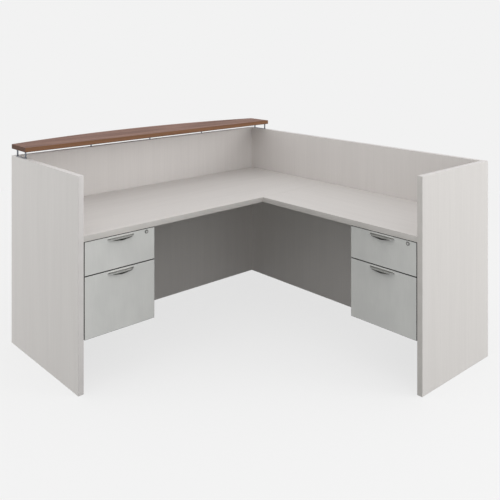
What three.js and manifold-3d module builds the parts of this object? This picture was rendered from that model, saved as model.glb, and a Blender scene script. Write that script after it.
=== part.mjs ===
// L-shaped reception desk: a full-height panel shell, two worksurfaces, a bowed transaction
// counter on standoffs, and two hanging box-and-file pedestals with telescopic drawer slides.
// Millimetres, +Z up. The visitor side faces -X, the return runs along +X, and the origin is
// on the floor at the centre of the footprint.

import * as THREE from 'three';
import { mergeVertices } from 'three/addons/utils/BufferGeometryUtils.js';
import Module from 'manifold-3d';

// Shell
const MAIN_WIDTH = 1803.4;
const MAIN_DEPTH = 762;
const RETURN_LENGTH = 1854.2;
const PANEL_HEIGHT = 1036.6;
const PANEL_THICKNESS = 28.6;
const WORK_HEIGHT = 749.3;
const WORK_THICKNESS = 28.6;
const EDGE_EASE = 1.2;
const BUTT_GAP = 0.3;

// Steel angle cleats under the worksurfaces
const CLEAT_LEG = 30;
const CLEAT_GAUGE = 3;
const CLEAT_END_GAP = 40;

// Transaction counter
const COUNTER_THICKNESS = 25.4;
const COUNTER_END_DEPTH = 177.8;
const COUNTER_BOW = 114.3;
const COUNTER_INSIDE_REACH = 172;
const COUNTER_END_INSET = 3;
const COUNTER_EASE = 2;
const COUNTER_ARC_STEPS = 40;

// Standoffs between the panels and the counter
const STANDOFF_HEIGHT = 36.5;
const POST_DIAMETER = 9;
const FLANGE_DIAMETER = 14;
const FLANGE_THICKNESS = 2;
const END_POST_SPACING = 103;
const END_BRACKET_SETBACK = 98;
const MID_POST_PITCH = 420;
const MID_POST_COUNT = 3;

// Hanging pedestals
const PEDESTAL_WIDTH = 396;
const PEDESTAL_DEPTH = 558.8;
const PEDESTAL_SIDE_GAP = 7;
const PEDESTAL_BACK_SPACE = 18.2;
const CARCASS_THICKNESS = 15.9;
const TOP_SETBACK = 45;
const BUMPER_GAP = 2;

// Drawer fronts
const FRONT_THICKNESS = 19;
const FRONT_RECESS = 4;
const FRONT_REVEAL = 3.5;
const BOX_FRONT_HEIGHT = 162.5;
const FILE_FRONT_HEIGHT = 299.5;

// Drawer trays
const TRAY_WALL = 12.7;
const TRAY_FLOOR = 6.4;
const TRAY_CLEARANCE = 10;
const TRAY_BACK_GAP = 23.6;
const BOX_CAM_GAP = 10.9;
const FILE_HEADROOM = 52.1;

// Drawer slides: C sections nested in one another
const SLIDE_SPACE = 12.7;
const SLIDE_RISE = 34;
const SLIDE_GAUGE = 1.3;
const SLIDE_LIP = 1.6;
const SLIDE_RUN = 0.5;
const INNER_MEMBER_HEIGHT = 30.6;

// Lip pulls: an upstand on the front, a plate that falls to its nose, and a lip that hangs from
// the nose in a shallow V
const PULL_LENGTH = 150;
const PULL_NOSE = 108;
const PULL_NOSE_CORNER = 8;
const PULL_REACH = 20.5;
const PULL_UPSTAND = 4.5;
const PULL_DROP = 12;
const PULL_APEX = 9;
const PULL_FALL = 1.5;
const PULL_UNDERCUT = 4;
const PULL_WALL = 2.6;
const PULL_FROM_TOP = 8.5;

// Cam locks in the box drawer fronts
const LOCK_FROM_SIDE = 48;
const LOCK_FROM_TOP = 15;
const LOCK_FLANGE_DIAMETER = 20;
const LOCK_FLANGE_THICKNESS = 2;
const LOCK_BARREL_DIAMETER = 16;
const LOCK_BARREL_LENGTH = 30;
const PLUG_DIAMETER = 10;
const CAM_ENGAGEMENT = 9;
const CAM_WIDTH = 9;
const CAM_THICKNESS = 3;
const RUNNING_GAP = 0.3;
const STRIKE_CLEARANCE = 2;

const ROUND_STEPS = 24;
const CURVE_STEPS = 8;

// Planes that the pieces share
const VISITOR_FACE = (COUNTER_END_DEPTH + COUNTER_BOW - COUNTER_INSIDE_REACH - RETURN_LENGTH) / 2;
const MAIN_INSIDE = VISITOR_FACE + PANEL_THICKNESS;
const MAIN_EDGE = VISITOR_FACE + MAIN_DEPTH;
const RETURN_OUTSIDE_END = VISITOR_FACE + RETURN_LENGTH;
const RETURN_INSIDE_END = RETURN_OUTSIDE_END - PANEL_THICKNESS;
const RETURN_DEPTH = FRONT_RECESS + PEDESTAL_DEPTH + PEDESTAL_BACK_SPACE + PANEL_THICKNESS;
const LEFT_OUTSIDE = -MAIN_WIDTH / 2;
const LEFT_INSIDE = LEFT_OUTSIDE + PANEL_THICKNESS;
const RETURN_OUTSIDE = MAIN_WIDTH / 2;
const RETURN_INSIDE = RETURN_OUTSIDE - PANEL_THICKNESS;
const RETURN_EDGE = RETURN_OUTSIDE - RETURN_DEPTH;
const WORK_UNDERSIDE = WORK_HEIGHT - WORK_THICKNESS;
const COUNTER_UNDERSIDE = PANEL_HEIGHT + STANDOFF_HEIGHT;

const laminate = new THREE.MeshStandardMaterial({ color: 0xd0ccc8, roughness: 0.55, metalness: 0 });
const frontLaminate = new THREE.MeshStandardMaterial({ color: 0xb4b4b1, roughness: 0.5, metalness: 0 });
const carcassBoard = new THREE.MeshStandardMaterial({ color: 0xc4c3c0, roughness: 0.6, metalness: 0 });
const walnut = new THREE.MeshStandardMaterial({ color: 0x886d64, roughness: 0.45, metalness: 0 });
const trayBirch = new THREE.MeshStandardMaterial({ color: 0xcabfae, roughness: 0.6, metalness: 0 });
const satinNickel = new THREE.MeshStandardMaterial({ color: 0x9a9b9c, roughness: 0.35, metalness: 1 });
const zincSteel = new THREE.MeshStandardMaterial({ color: 0xb6b8ba, roughness: 0.4, metalness: 1 });

const wasm = await Module();
wasm.setup();

function solid(geometry) {
  const bare = geometry.clone();
  bare.deleteAttribute('normal');
  bare.deleteAttribute('uv');
  const merged = mergeVertices(bare, 1e-4);
  return new wasm.Manifold(new wasm.Mesh({
    numProp: 3,
    vertProperties: new Float32Array(merged.attributes.position.array),
    triVerts: new Uint32Array(merged.index.array),
  }));
}

function surface(manifold) {
  const mesh = manifold.getMesh();
  const geometry = new THREE.BufferGeometry();
  geometry.setAttribute('position', new THREE.BufferAttribute(new Float32Array(mesh.vertProperties), 3));
  geometry.setIndex(new THREE.BufferAttribute(new Uint32Array(mesh.triVerts), 1));
  geometry.computeVertexNormals();
  return geometry;
}

function piece(name, geometry, material) {
  const mesh = new THREE.Mesh(geometry, material);
  mesh.name = name;
  return mesh;
}

// A plain block between two opposite corners.
function block(low, high) {
  const size = high.map((value, axis) => value - low[axis]);
  return new THREE.BoxGeometry(...size).translate(...low.map((value, axis) => value + size[axis] / 2));
}

// A board between two opposite corners, with every edge eased like an edge band.
function board(low, high, ease = EDGE_EASE) {
  const [sizeX, sizeY, sizeZ] = high.map((value, axis) => value - low[axis]);
  const outline = new THREE.Shape();
  outline.moveTo(ease, ease);
  outline.lineTo(sizeX - ease, ease);
  outline.lineTo(sizeX - ease, sizeY - ease);
  outline.lineTo(ease, sizeY - ease);
  const geometry = new THREE.ExtrudeGeometry(outline, {
    depth: sizeZ - 2 * ease,
    bevelEnabled: true,
    bevelSize: ease,
    bevelThickness: ease,
    bevelSegments: 1,
  });
  return geometry.translate(low[0], low[1], low[2] + ease);
}

// An outline in the X-Z plane, run along +Y from one depth to another.
function prismAlongY(outline, from, to) {
  const geometry = new THREE.ExtrudeGeometry(outline, {
    depth: to - from,
    bevelEnabled: false,
    curveSegments: CURVE_STEPS,
  });
  return geometry.rotateX(Math.PI / 2).translate(0, to, 0);
}

function polygon(points) {
  return new THREE.Shape(points.map(([x, y]) => new THREE.Vector2(x, y)));
}

// Radius of the arc that rises by `rise` over a chord of twice `half`.
function arcRadius(half, rise) {
  return (half * half + rise * rise) / (2 * rise);
}

function shellPanels() {
  const group = new THREE.Group();
  const mainLow = [VISITOR_FACE, LEFT_INSIDE + BUTT_GAP, 0];
  const mainHigh = [MAIN_INSIDE, RETURN_OUTSIDE, PANEL_HEIGHT];
  const returnLow = [MAIN_INSIDE + BUTT_GAP, RETURN_INSIDE, 0];
  const returnHigh = [RETURN_INSIDE_END - BUTT_GAP, RETURN_OUTSIDE, PANEL_HEIGHT];
  const leftLow = [VISITOR_FACE, LEFT_OUTSIDE, 0];
  const leftHigh = [MAIN_EDGE, LEFT_INSIDE, PANEL_HEIGHT];
  const rightLow = [RETURN_INSIDE_END, RETURN_EDGE, 0];
  const rightHigh = [RETURN_OUTSIDE_END, RETURN_OUTSIDE, PANEL_HEIGHT];
  group.add(piece('main_panel', board(mainLow, mainHigh), laminate));
  group.add(piece('return_panel', board(returnLow, returnHigh), laminate));
  group.add(piece('left_end_panel', board(leftLow, leftHigh), laminate));
  group.add(piece('right_end_panel', board(rightLow, rightHigh), laminate));
  return group;
}

function worksurfaces() {
  const group = new THREE.Group();
  const mainLow = [MAIN_INSIDE + BUTT_GAP, LEFT_INSIDE + BUTT_GAP, WORK_UNDERSIDE];
  const mainHigh = [MAIN_EDGE, RETURN_INSIDE - BUTT_GAP, WORK_HEIGHT];
  const returnLow = [MAIN_EDGE + BUTT_GAP, RETURN_EDGE, WORK_UNDERSIDE];
  const returnHigh = [RETURN_INSIDE_END - BUTT_GAP, RETURN_INSIDE - BUTT_GAP, WORK_HEIGHT];
  group.add(piece('main_worksurface', board(mainLow, mainHigh), laminate));
  group.add(piece('return_worksurface', board(returnLow, returnHigh), laminate));
  return group;
}

// Steel angles under the worksurfaces, with one leg against the panel.
function angleSection() {
  return polygon([
    [0, 0], [CLEAT_LEG, 0], [CLEAT_LEG, -CLEAT_GAUGE],
    [CLEAT_GAUGE, -CLEAT_GAUGE], [CLEAT_GAUGE, -CLEAT_LEG], [0, -CLEAT_LEG],
  ]);
}

function cleats() {
  const group = new THREE.Group();
  const top = WORK_UNDERSIDE - BUTT_GAP;
  const mainRun = prismAlongY(angleSection(), LEFT_INSIDE + CLEAT_END_GAP, RETURN_INSIDE - CLEAT_END_GAP);
  const main = piece('main_cleat', mainRun, zincSteel);
  main.position.set(MAIN_INSIDE + BUTT_GAP, 0, top);
  const pedestalSide = RETURN_INSIDE_END - PEDESTAL_SIDE_GAP - PEDESTAL_WIDTH;
  const returnRun = prismAlongY(angleSection(), MAIN_EDGE + CLEAT_END_GAP, pedestalSide - CLEAT_END_GAP);
  const returning = piece('return_cleat', returnRun, zincSteel);
  returning.rotation.z = -Math.PI / 2;
  returning.position.set(0, RETURN_INSIDE - BUTT_GAP, top);
  group.add(main, returning);
  return group;
}

// The straight edge faces the user and the bowed edge faces the visitor.
function counter() {
  const straight = VISITOR_FACE + COUNTER_INSIDE_REACH - COUNTER_EASE;
  const ends = VISITOR_FACE + COUNTER_INSIDE_REACH - COUNTER_END_DEPTH + COUNTER_EASE;
  const half = MAIN_WIDTH / 2 - COUNTER_END_INSET - COUNTER_EASE;
  const radius = arcRadius(half, COUNTER_BOW);
  const centre = ends - COUNTER_BOW + radius;
  const swing = Math.asin(half / radius);
  const outline = new THREE.Shape();
  outline.moveTo(straight, -half);
  outline.lineTo(straight, half);
  outline.lineTo(ends, half);
  outline.absarc(centre, 0, radius, Math.PI - swing, Math.PI + swing, false);
  const geometry = new THREE.ExtrudeGeometry(outline, {
    depth: COUNTER_THICKNESS - 2 * COUNTER_EASE,
    bevelEnabled: true,
    bevelSize: COUNTER_EASE,
    bevelThickness: COUNTER_EASE,
    bevelSegments: 2,
    curveSegments: COUNTER_ARC_STEPS,
  });
  return piece('transaction_counter', geometry.translate(0, 0, COUNTER_UNDERSIDE + COUNTER_EASE), walnut);
}

// A round post with a screw flange at its foot and its head, standing on the panel's top edge.
function postGeometry() {
  const bottom = BUTT_GAP;
  const top = STANDOFF_HEIGHT - BUTT_GAP;
  const post = POST_DIAMETER / 2;
  const flange = FLANGE_DIAMETER / 2;
  const profile = [
    [0, bottom], [flange, bottom], [flange, bottom + FLANGE_THICKNESS], [post, bottom + FLANGE_THICKNESS],
    [post, top - FLANGE_THICKNESS], [flange, top - FLANGE_THICKNESS], [flange, top], [0, top],
  ];
  const points = profile.map(([radius, height]) => new THREE.Vector2(radius, height));
  return new THREE.LatheGeometry(points, ROUND_STEPS).rotateX(Math.PI / 2);
}

// Two posts joined by one foot bar, which lies along the panel's top edge in X.
function endBracketGeometry() {
  const bar = block(
    [-END_POST_SPACING / 2, -FLANGE_DIAMETER / 2, BUTT_GAP],
    [END_POST_SPACING / 2, FLANGE_DIAMETER / 2, BUTT_GAP + FLANGE_THICKNESS],
  );
  let bracket = solid(bar);
  for (const side of [-1, 1]) {
    bracket = bracket.add(solid(postGeometry().translate(side * END_POST_SPACING / 2, 0, 0)));
  }
  return surface(bracket);
}

function standoffs() {
  const group = new THREE.Group();
  const endPlaces = {
    left: LEFT_OUTSIDE + PANEL_THICKNESS / 2,
    right: RETURN_OUTSIDE - PANEL_THICKNESS / 2,
  };
  for (const [side, y] of Object.entries(endPlaces)) {
    const bracket = piece(`${side}_standoff_bracket`, endBracketGeometry(), satinNickel);
    bracket.position.set(VISITOR_FACE + END_BRACKET_SETBACK, y, PANEL_HEIGHT);
    group.add(bracket);
  }
  for (let index = 0; index < MID_POST_COUNT; index += 1) {
    const post = piece(`standoff_post_${index + 1}`, postGeometry(), satinNickel);
    const offset = (index - (MID_POST_COUNT - 1) / 2) * MID_POST_PITCH;
    post.position.set(VISITOR_FACE + PANEL_THICKNESS / 2, offset, PANEL_HEIGHT);
    group.add(post);
  }
  return group;
}

// Pedestals are drawn as the user faces them: X to the right, Y into the carcass, and the
// outside of the drawer fronts on Y = 0. Heights are the desk's own.
const PEDESTAL_TOP = WORK_UNDERSIDE - BUTT_GAP;
const BOX_FRONT_TOP = WORK_UNDERSIDE - FRONT_REVEAL;
const BOX_FRONT_BOTTOM = BOX_FRONT_TOP - BOX_FRONT_HEIGHT;
const FILE_FRONT_TOP = BOX_FRONT_BOTTOM - FRONT_REVEAL;
const FILE_FRONT_BOTTOM = FILE_FRONT_TOP - FILE_FRONT_HEIGHT;
const CARCASS_FRONT = FRONT_THICKNESS + BUMPER_GAP;
const CARCASS_INSIDE_WIDTH = PEDESTAL_WIDTH - 2 * CARCASS_THICKNESS;
const TRAY_FRONT = FRONT_THICKNESS + BUTT_GAP;
const TRAY_BACK = PEDESTAL_DEPTH - CARCASS_THICKNESS - TRAY_BACK_GAP;
const SLIDE_LENGTH = TRAY_BACK - TRAY_FRONT;
const LOCK_X = PEDESTAL_WIDTH - LOCK_FROM_SIDE;
const LOCK_Z = BOX_FRONT_TOP - LOCK_FROM_TOP;
const CAM_LENGTH = LOCK_FROM_SIDE - CARCASS_THICKNESS + CAM_ENGAGEMENT;
const CAM_FRONT = LOCK_BARREL_LENGTH + RUNNING_GAP;
const CAM_BACK = CAM_FRONT + CAM_THICKNESS;
const BOX_TRAY_FLOOR = BOX_FRONT_BOTTOM + TRAY_CLEARANCE;
const BOX_TRAY_TOP = LOCK_Z - CAM_LENGTH - BOX_CAM_GAP;
const FILE_TRAY_FLOOR = FILE_FRONT_BOTTOM + CARCASS_THICKNESS + TRAY_CLEARANCE;
const FILE_TRAY_TOP = FILE_FRONT_TOP - FILE_HEADROOM;

// The pocket that the cam swings up into: a disc cut about the lock's axis, closed above the cam.
function strikePocket() {
  const reach = Math.hypot(CAM_LENGTH, CAM_WIDTH / 2) + STRIKE_CLEARANCE;
  const depth = CAM_THICKNESS + 2 * STRIKE_CLEARANCE;
  const disc = new THREE.CylinderGeometry(reach, reach, depth, 2 * ROUND_STEPS);
  disc.translate(LOCK_X, CAM_FRONT + CAM_THICKNESS / 2, LOCK_Z);
  const underCeiling = block(
    [LOCK_X, CAM_FRONT - 2 * STRIKE_CLEARANCE, LOCK_Z - 2 * reach],
    [LOCK_X + 2 * reach, CAM_BACK + 2 * STRIKE_CLEARANCE, LOCK_Z + CAM_WIDTH / 2 + STRIKE_CLEARANCE],
  );
  return solid(disc).intersect(solid(underCeiling));
}

function carcass(side) {
  const inLeft = CARCASS_THICKNESS + BUTT_GAP;
  const inRight = PEDESTAL_WIDTH - CARCASS_THICKNESS - BUTT_GAP;
  const backFront = PEDESTAL_DEPTH - CARCASS_THICKNESS;
  const low = FILE_FRONT_BOTTOM;
  const high = PEDESTAL_TOP;
  const leftSide = board([0, CARCASS_FRONT, low], [CARCASS_THICKNESS, PEDESTAL_DEPTH, high]);
  const rightBoard = board(
    [PEDESTAL_WIDTH - CARCASS_THICKNESS, CARCASS_FRONT, low],
    [PEDESTAL_WIDTH, PEDESTAL_DEPTH, high],
  );
  const rightSide = surface(solid(rightBoard).subtract(strikePocket()));
  const back = board([inLeft, backFront, low], [inRight, PEDESTAL_DEPTH, high]);
  const bottom = board(
    [inLeft, CARCASS_FRONT, low],
    [inRight, backFront - BUTT_GAP, low + CARCASS_THICKNESS],
  );
  const top = board(
    [inLeft, CARCASS_FRONT + TOP_SETBACK, high - CARCASS_THICKNESS],
    [inRight, backFront - BUTT_GAP, high],
  );
  return [
    piece(`${side}_pedestal_left_side`, leftSide, carcassBoard),
    piece(`${side}_pedestal_right_side`, rightSide, carcassBoard),
    piece(`${side}_pedestal_back`, back, carcassBoard),
    piece(`${side}_pedestal_bottom`, bottom, carcassBoard),
    piece(`${side}_pedestal_top`, top, carcassBoard),
  ];
}

// A tray behind a drawer front, open at the top.
function trayGeometry(floor, top) {
  const left = CARCASS_THICKNESS + SLIDE_SPACE;
  const right = PEDESTAL_WIDTH - left;
  const outside = solid(block([left, TRAY_FRONT, floor], [right, TRAY_BACK, top]));
  const inside = solid(block(
    [left + TRAY_WALL, TRAY_FRONT + TRAY_WALL, floor + TRAY_FLOOR],
    [right - TRAY_WALL, TRAY_BACK - TRAY_WALL, top + TRAY_FLOOR],
  ));
  return surface(outside.subtract(inside));
}

// A C section with its web at `web` and its flanges running to `tip`, both measured from the
// carcass wall towards the tray. A lipped section turns its flange tips in.
function channelSection(height, web, tip, lip, mirror) {
  const inward = Math.sign(tip - web);
  const half = height / 2;
  const webInside = web + inward * SLIDE_GAUGE;
  const lipStart = tip - inward * SLIDE_GAUGE;
  const upper = [
    [webInside, half - SLIDE_GAUGE], [lipStart, half - SLIDE_GAUGE],
    [lipStart, half - SLIDE_GAUGE - lip], [tip, half - SLIDE_GAUGE - lip], [tip, half], [web, half],
  ];
  const plain = [[webInside, half - SLIDE_GAUGE], [tip, half - SLIDE_GAUGE], [tip, half], [web, half]];
  const flange = lip > 0 ? upper : plain;
  const below = flange.map(([x, z]) => [x, -z]).reverse();
  const points = [...flange, ...below].map(([x, z]) => [mirror ? PEDESTAL_WIDTH - x : x, z]);
  return polygon(points);
}

const MEMBER_DEPTH = SLIDE_SPACE - 2 * (BUTT_GAP + SLIDE_GAUGE + SLIDE_RUN);
const CABINET_WEB = CARCASS_THICKNESS + BUTT_GAP;
const CABINET_TIP = CABINET_WEB + MEMBER_DEPTH;
const MIDDLE_WEB = CABINET_WEB + SLIDE_GAUGE + SLIDE_RUN;
const MIDDLE_TIP = MIDDLE_WEB + MEMBER_DEPTH;
const INNER_WEB = CARCASS_THICKNESS + SLIDE_SPACE - BUTT_GAP;
const INNER_TIP = MIDDLE_WEB + SLIDE_GAUGE + SLIDE_RUN;
const MIDDLE_HEIGHT = INNER_MEMBER_HEIGHT + 2 * (SLIDE_RUN + SLIDE_LIP + SLIDE_GAUGE);
const OUTER_HEIGHT = MIDDLE_HEIGHT + 2 * (SLIDE_RUN + SLIDE_LIP + SLIDE_GAUGE);

// The carcass member, an optional middle member and the tray member of one drawer's slides.
function slideMembers(name, height, telescopic) {
  const carcassStart = CARCASS_FRONT + BUMPER_GAP;
  const members = [];
  for (const [hand, mirror] of [['left', false], ['right', true]]) {
    const outerHeight = telescopic ? OUTER_HEIGHT : MIDDLE_HEIGHT;
    const outer = channelSection(outerHeight, CABINET_WEB, CABINET_TIP, SLIDE_LIP, mirror);
    const inner = channelSection(INNER_MEMBER_HEIGHT, INNER_WEB, INNER_TIP, 0, mirror);
    const runs = [
      [`${name}_slide_${hand}_carcass_member`, outer, carcassStart],
      [`${name}_slide_${hand}_tray_member`, inner, TRAY_FRONT],
    ];
    if (telescopic) {
      const middle = channelSection(MIDDLE_HEIGHT, MIDDLE_WEB, MIDDLE_TIP, SLIDE_LIP, mirror);
      runs.push([`${name}_slide_${hand}_middle_member`, middle, carcassStart]);
    }
    for (const [label, section, start] of runs) {
      const geometry = prismAlongY(section, start, start + SLIDE_LENGTH).translate(0, 0, height);
      members.push(piece(label, geometry, zincSteel));
    }
  }
  return members;
}

// Plan outline of a pull: its full length on the drawer front, tapering to a shorter straight nose.
function pullPlan() {
  const end = new THREE.Vector2(PULL_LENGTH / 2, -BUTT_GAP);
  const tip = new THREE.Vector2(PULL_NOSE / 2, -PULL_REACH);
  const shoulder = tip.clone().lerp(end, PULL_NOSE_CORNER / tip.distanceTo(end));
  const outline = new THREE.Shape();
  outline.moveTo(-end.x, end.y);
  outline.lineTo(-shoulder.x, shoulder.y);
  outline.quadraticCurveTo(-tip.x, tip.y, PULL_NOSE_CORNER - tip.x, tip.y);
  outline.lineTo(tip.x - PULL_NOSE_CORNER, tip.y);
  outline.quadraticCurveTo(tip.x, tip.y, shoulder.x, shoulder.y);
  outline.lineTo(end.x, end.y);
  return outline;
}

function extrudeUp(outline, from, to) {
  const geometry = new THREE.ExtrudeGeometry(outline, {
    depth: to - from,
    bevelEnabled: false,
    curveSegments: CURVE_STEPS,
  });
  return geometry.translate(0, 0, from);
}

// An outline in the Y-Z plane, run along X past both ends of a pull.
function pullRun(points) {
  return prismAlongY(polygon(points), -PULL_LENGTH, PULL_LENGTH).rotateZ(Math.PI / 2);
}

// A cast lip pull. The drawer front's face is on Y = 0, where the plate's top starts from Z = 0 and
// falls to its nose. The lip's face leans back under the plate, and its lower edge is a shallow V
// with its apex rounded off.
function pullGeometry() {
  const half = PULL_NOSE / 2;
  const end = PULL_LENGTH / 2;
  const apexRise = PULL_APEX * (PULL_DROP - PULL_WALL) / half;
  const vee = new THREE.Shape();
  vee.moveTo(end, 0);
  vee.lineTo(-end, 0);
  vee.lineTo(-end, -PULL_WALL);
  vee.lineTo(-half, -PULL_WALL);
  vee.lineTo(-PULL_APEX, apexRise - PULL_DROP);
  vee.quadraticCurveTo(0, -PULL_DROP, PULL_APEX, apexRise - PULL_DROP);
  vee.lineTo(half, -PULL_WALL);
  vee.lineTo(end, -PULL_WALL);
  const below = -2 * PULL_DROP;
  const leaning = pullRun([
    [0, 0], [-PULL_REACH, 0], [-PULL_REACH, -PULL_WALL],
    [PULL_UNDERCUT - PULL_REACH, -PULL_DROP], [PULL_UNDERCUT - PULL_REACH, below], [0, below],
  ]);
  const fingerBack = -BUTT_GAP - PULL_WALL;
  const fingerFront = PULL_WALL - PULL_REACH;
  const fingers = pullRun([
    [fingerBack, -PULL_WALL], [fingerFront, -PULL_WALL],
    [fingerFront + PULL_UNDERCUT, -PULL_DROP], [fingerFront + PULL_UNDERCUT, below], [fingerBack, below],
  ]);
  const upstand = block([-end, fingerBack, -PULL_WALL], [end, -BUTT_GAP, PULL_UPSTAND]);
  const body = solid(extrudeUp(pullPlan(), -PULL_DROP, 0))
    .intersect(solid(prismAlongY(vee, -PULL_REACH, 0)))
    .intersect(solid(leaning));
  const ends = solid(extrudeUp(pullPlan(), -PULL_DROP, PULL_UPSTAND));
  const level = surface(body.subtract(solid(fingers)).add(solid(upstand).intersect(ends)));
  return level.applyMatrix4(new THREE.Matrix4().makeShear(0, 0, 0, PULL_FALL / PULL_REACH, 0, 0));
}

function pull(name, frontTop) {
  const mesh = piece(`${name}_pull`, pullGeometry(), satinNickel);
  mesh.position.set(PEDESTAL_WIDTH / 2, 0, frontTop - PULL_FROM_TOP - PULL_UPSTAND);
  return mesh;
}

// The lock's barrel passes through the front, and its flange stands on the front's face.
function lockBodyGeometry() {
  const bore = PLUG_DIAMETER / 2 + RUNNING_GAP;
  const barrel = LOCK_BARREL_DIAMETER / 2;
  const flange = LOCK_FLANGE_DIAMETER / 2;
  const seat = -BUTT_GAP;
  const face = seat - LOCK_FLANGE_THICKNESS;
  const profile = [
    [bore, face], [flange, face], [flange, seat], [barrel, seat],
    [barrel, LOCK_BARREL_LENGTH], [bore, LOCK_BARREL_LENGTH], [bore, face],
  ];
  const points = profile.map(([radius, depth]) => new THREE.Vector2(radius, depth));
  return new THREE.LatheGeometry(points, ROUND_STEPS);
}

// The plug turns in the barrel and carries the cam tongue, which hangs down when unlocked.
function lockPlugGeometry() {
  const start = -BUTT_GAP - LOCK_FLANGE_THICKNESS;
  const length = CAM_BACK - start;
  const shaft = new THREE.CylinderGeometry(PLUG_DIAMETER / 2, PLUG_DIAMETER / 2, length, ROUND_STEPS);
  const tongue = block([-CAM_WIDTH / 2, CAM_FRONT, -CAM_LENGTH], [CAM_WIDTH / 2, CAM_BACK, 0]);
  return surface(solid(shaft.translate(0, start + length / 2, 0)).add(solid(tongue)));
}

function boxFrontGeometry() {
  const blank = solid(board([0, 0, BOX_FRONT_BOTTOM], [PEDESTAL_WIDTH, FRONT_THICKNESS, BOX_FRONT_TOP]));
  const hole = LOCK_BARREL_DIAMETER / 2 + RUNNING_GAP;
  const bore = new THREE.CylinderGeometry(hole, hole, 2 * FRONT_THICKNESS, ROUND_STEPS);
  return surface(blank.subtract(solid(bore.translate(LOCK_X, FRONT_THICKNESS / 2, LOCK_Z))));
}

function boxDrawer(side) {
  const name = `${side}_box_drawer`;
  const lockBody = piece(`${side}_lock_body`, lockBodyGeometry(), satinNickel);
  const lockPlug = piece(`${side}_lock_plug`, lockPlugGeometry(), satinNickel);
  lockBody.position.set(LOCK_X, 0, LOCK_Z);
  lockPlug.position.copy(lockBody.position);
  return [
    piece(`${name}_front`, boxFrontGeometry(), frontLaminate),
    piece(`${name}_tray`, trayGeometry(BOX_TRAY_FLOOR, BOX_TRAY_TOP), trayBirch),
    pull(name, BOX_FRONT_TOP),
    lockBody,
    lockPlug,
    ...slideMembers(name, BOX_TRAY_FLOOR + SLIDE_RISE, false),
  ];
}

function fileDrawer(side) {
  const name = `${side}_file_drawer`;
  const front = board([0, 0, FILE_FRONT_BOTTOM], [PEDESTAL_WIDTH, FRONT_THICKNESS, FILE_FRONT_TOP]);
  return [
    piece(`${name}_front`, front, frontLaminate),
    piece(`${name}_tray`, trayGeometry(FILE_TRAY_FLOOR, FILE_TRAY_TOP), trayBirch),
    pull(name, FILE_FRONT_TOP),
    ...slideMembers(name, FILE_TRAY_FLOOR + SLIDE_RISE, true),
  ];
}

function pedestal(side) {
  const group = new THREE.Group();
  group.add(...carcass(side), ...boxDrawer(side), ...fileDrawer(side));
  return group;
}

const leftPedestal = pedestal('left');
leftPedestal.rotation.z = Math.PI / 2;
leftPedestal.position.set(MAIN_EDGE - FRONT_RECESS, LEFT_INSIDE + PEDESTAL_SIDE_GAP, 0);

const rightPedestal = pedestal('right');
rightPedestal.position.set(
  RETURN_INSIDE_END - PEDESTAL_SIDE_GAP - PEDESTAL_WIDTH,
  RETURN_EDGE + FRONT_RECESS,
  0,
);

const desk = new THREE.Group();
desk.name = 'reception_desk';
desk.add(shellPanels(), worksurfaces(), cleats(), counter(), standoffs(), leftPedestal, rightPedestal);

export default desk;
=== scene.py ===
"""Finishes, small fittings, studio and camera for an L-shaped reception desk.

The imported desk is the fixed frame. Every board, rail and fitting of it gets its finish here, the
pieces that are too fine for the solids are modelled over it, and a pale studio stands around it.
The desk's classes hold millimetres, which become metres when a piece is placed. The studio and
the camera are in metres.
"""

import logging
import math
from collections.abc import Iterable, Sequence
from dataclasses import dataclass
from enum import Enum
from itertools import product

import bmesh
import bpy
from bmesh.types import BMEdge, BMesh, BMFace, BMVert
from mathutils import Matrix, Vector


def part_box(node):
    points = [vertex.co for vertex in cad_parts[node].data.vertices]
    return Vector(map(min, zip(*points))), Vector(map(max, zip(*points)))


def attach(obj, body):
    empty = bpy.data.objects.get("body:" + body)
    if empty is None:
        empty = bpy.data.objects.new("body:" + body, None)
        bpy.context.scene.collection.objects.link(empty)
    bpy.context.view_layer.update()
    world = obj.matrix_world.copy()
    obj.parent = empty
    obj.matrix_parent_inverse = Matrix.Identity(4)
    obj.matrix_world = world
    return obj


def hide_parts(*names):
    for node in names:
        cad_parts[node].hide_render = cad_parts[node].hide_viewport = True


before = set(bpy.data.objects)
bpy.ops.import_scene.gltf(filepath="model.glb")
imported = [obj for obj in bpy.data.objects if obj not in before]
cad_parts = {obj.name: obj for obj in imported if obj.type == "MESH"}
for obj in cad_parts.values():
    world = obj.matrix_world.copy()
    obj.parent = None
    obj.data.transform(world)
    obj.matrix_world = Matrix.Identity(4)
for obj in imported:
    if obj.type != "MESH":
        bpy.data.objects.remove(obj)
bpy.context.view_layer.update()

MM = 0.001
WORLD = Matrix.Scale(MM, 4)
QUARTER_TURN = math.pi / 2
SMOOTH_ANGLE = math.radians(35)
SHARP_ANGLE = math.radians(40)
TOUCHING = 1e-3
DOUBLES = 1e-4
SLIVER = 0.01
log = logging.getLogger("reception_desk")

Point = tuple[float, float, float]
Span = tuple[float, float]
Colour = tuple[float, float, float, float]
Node = bpy.types.Node
Socket = bpy.types.NodeSocket
Inputs = dict[str | int, object]
Paint = Colour | Socket

# Most of a noise pattern's values lie in this span.
MIDDLE: Span = (0.3, 0.7)
BUMP_STRENGTH = 0.15


class Axis(Enum):
    """One of the frame's three axes."""

    X = 0
    Y = 1
    Z = 2

    @property
    def unit(self) -> Vector:
        """The axis as a vector of length 1."""
        return Vector([float(axis is self) for axis in Axis])


class Face(Enum):
    """A side of a board, as its axis and its sign."""

    RIGHT = (Axis.X, 1)
    LEFT = (Axis.X, -1)
    BACK = (Axis.Y, 1)
    FRONT = (Axis.Y, -1)
    TOP = (Axis.Z, 1)
    UNDER = (Axis.Z, -1)

    @property
    def normal(self) -> Vector:
        """The way that the side looks."""
        axis, sign = self.value
        return axis.unit * sign


class Side(Enum):
    """Which of the two pedestals, by the prefix of its pieces."""

    LEFT = "left"
    RIGHT = "right"


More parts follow.
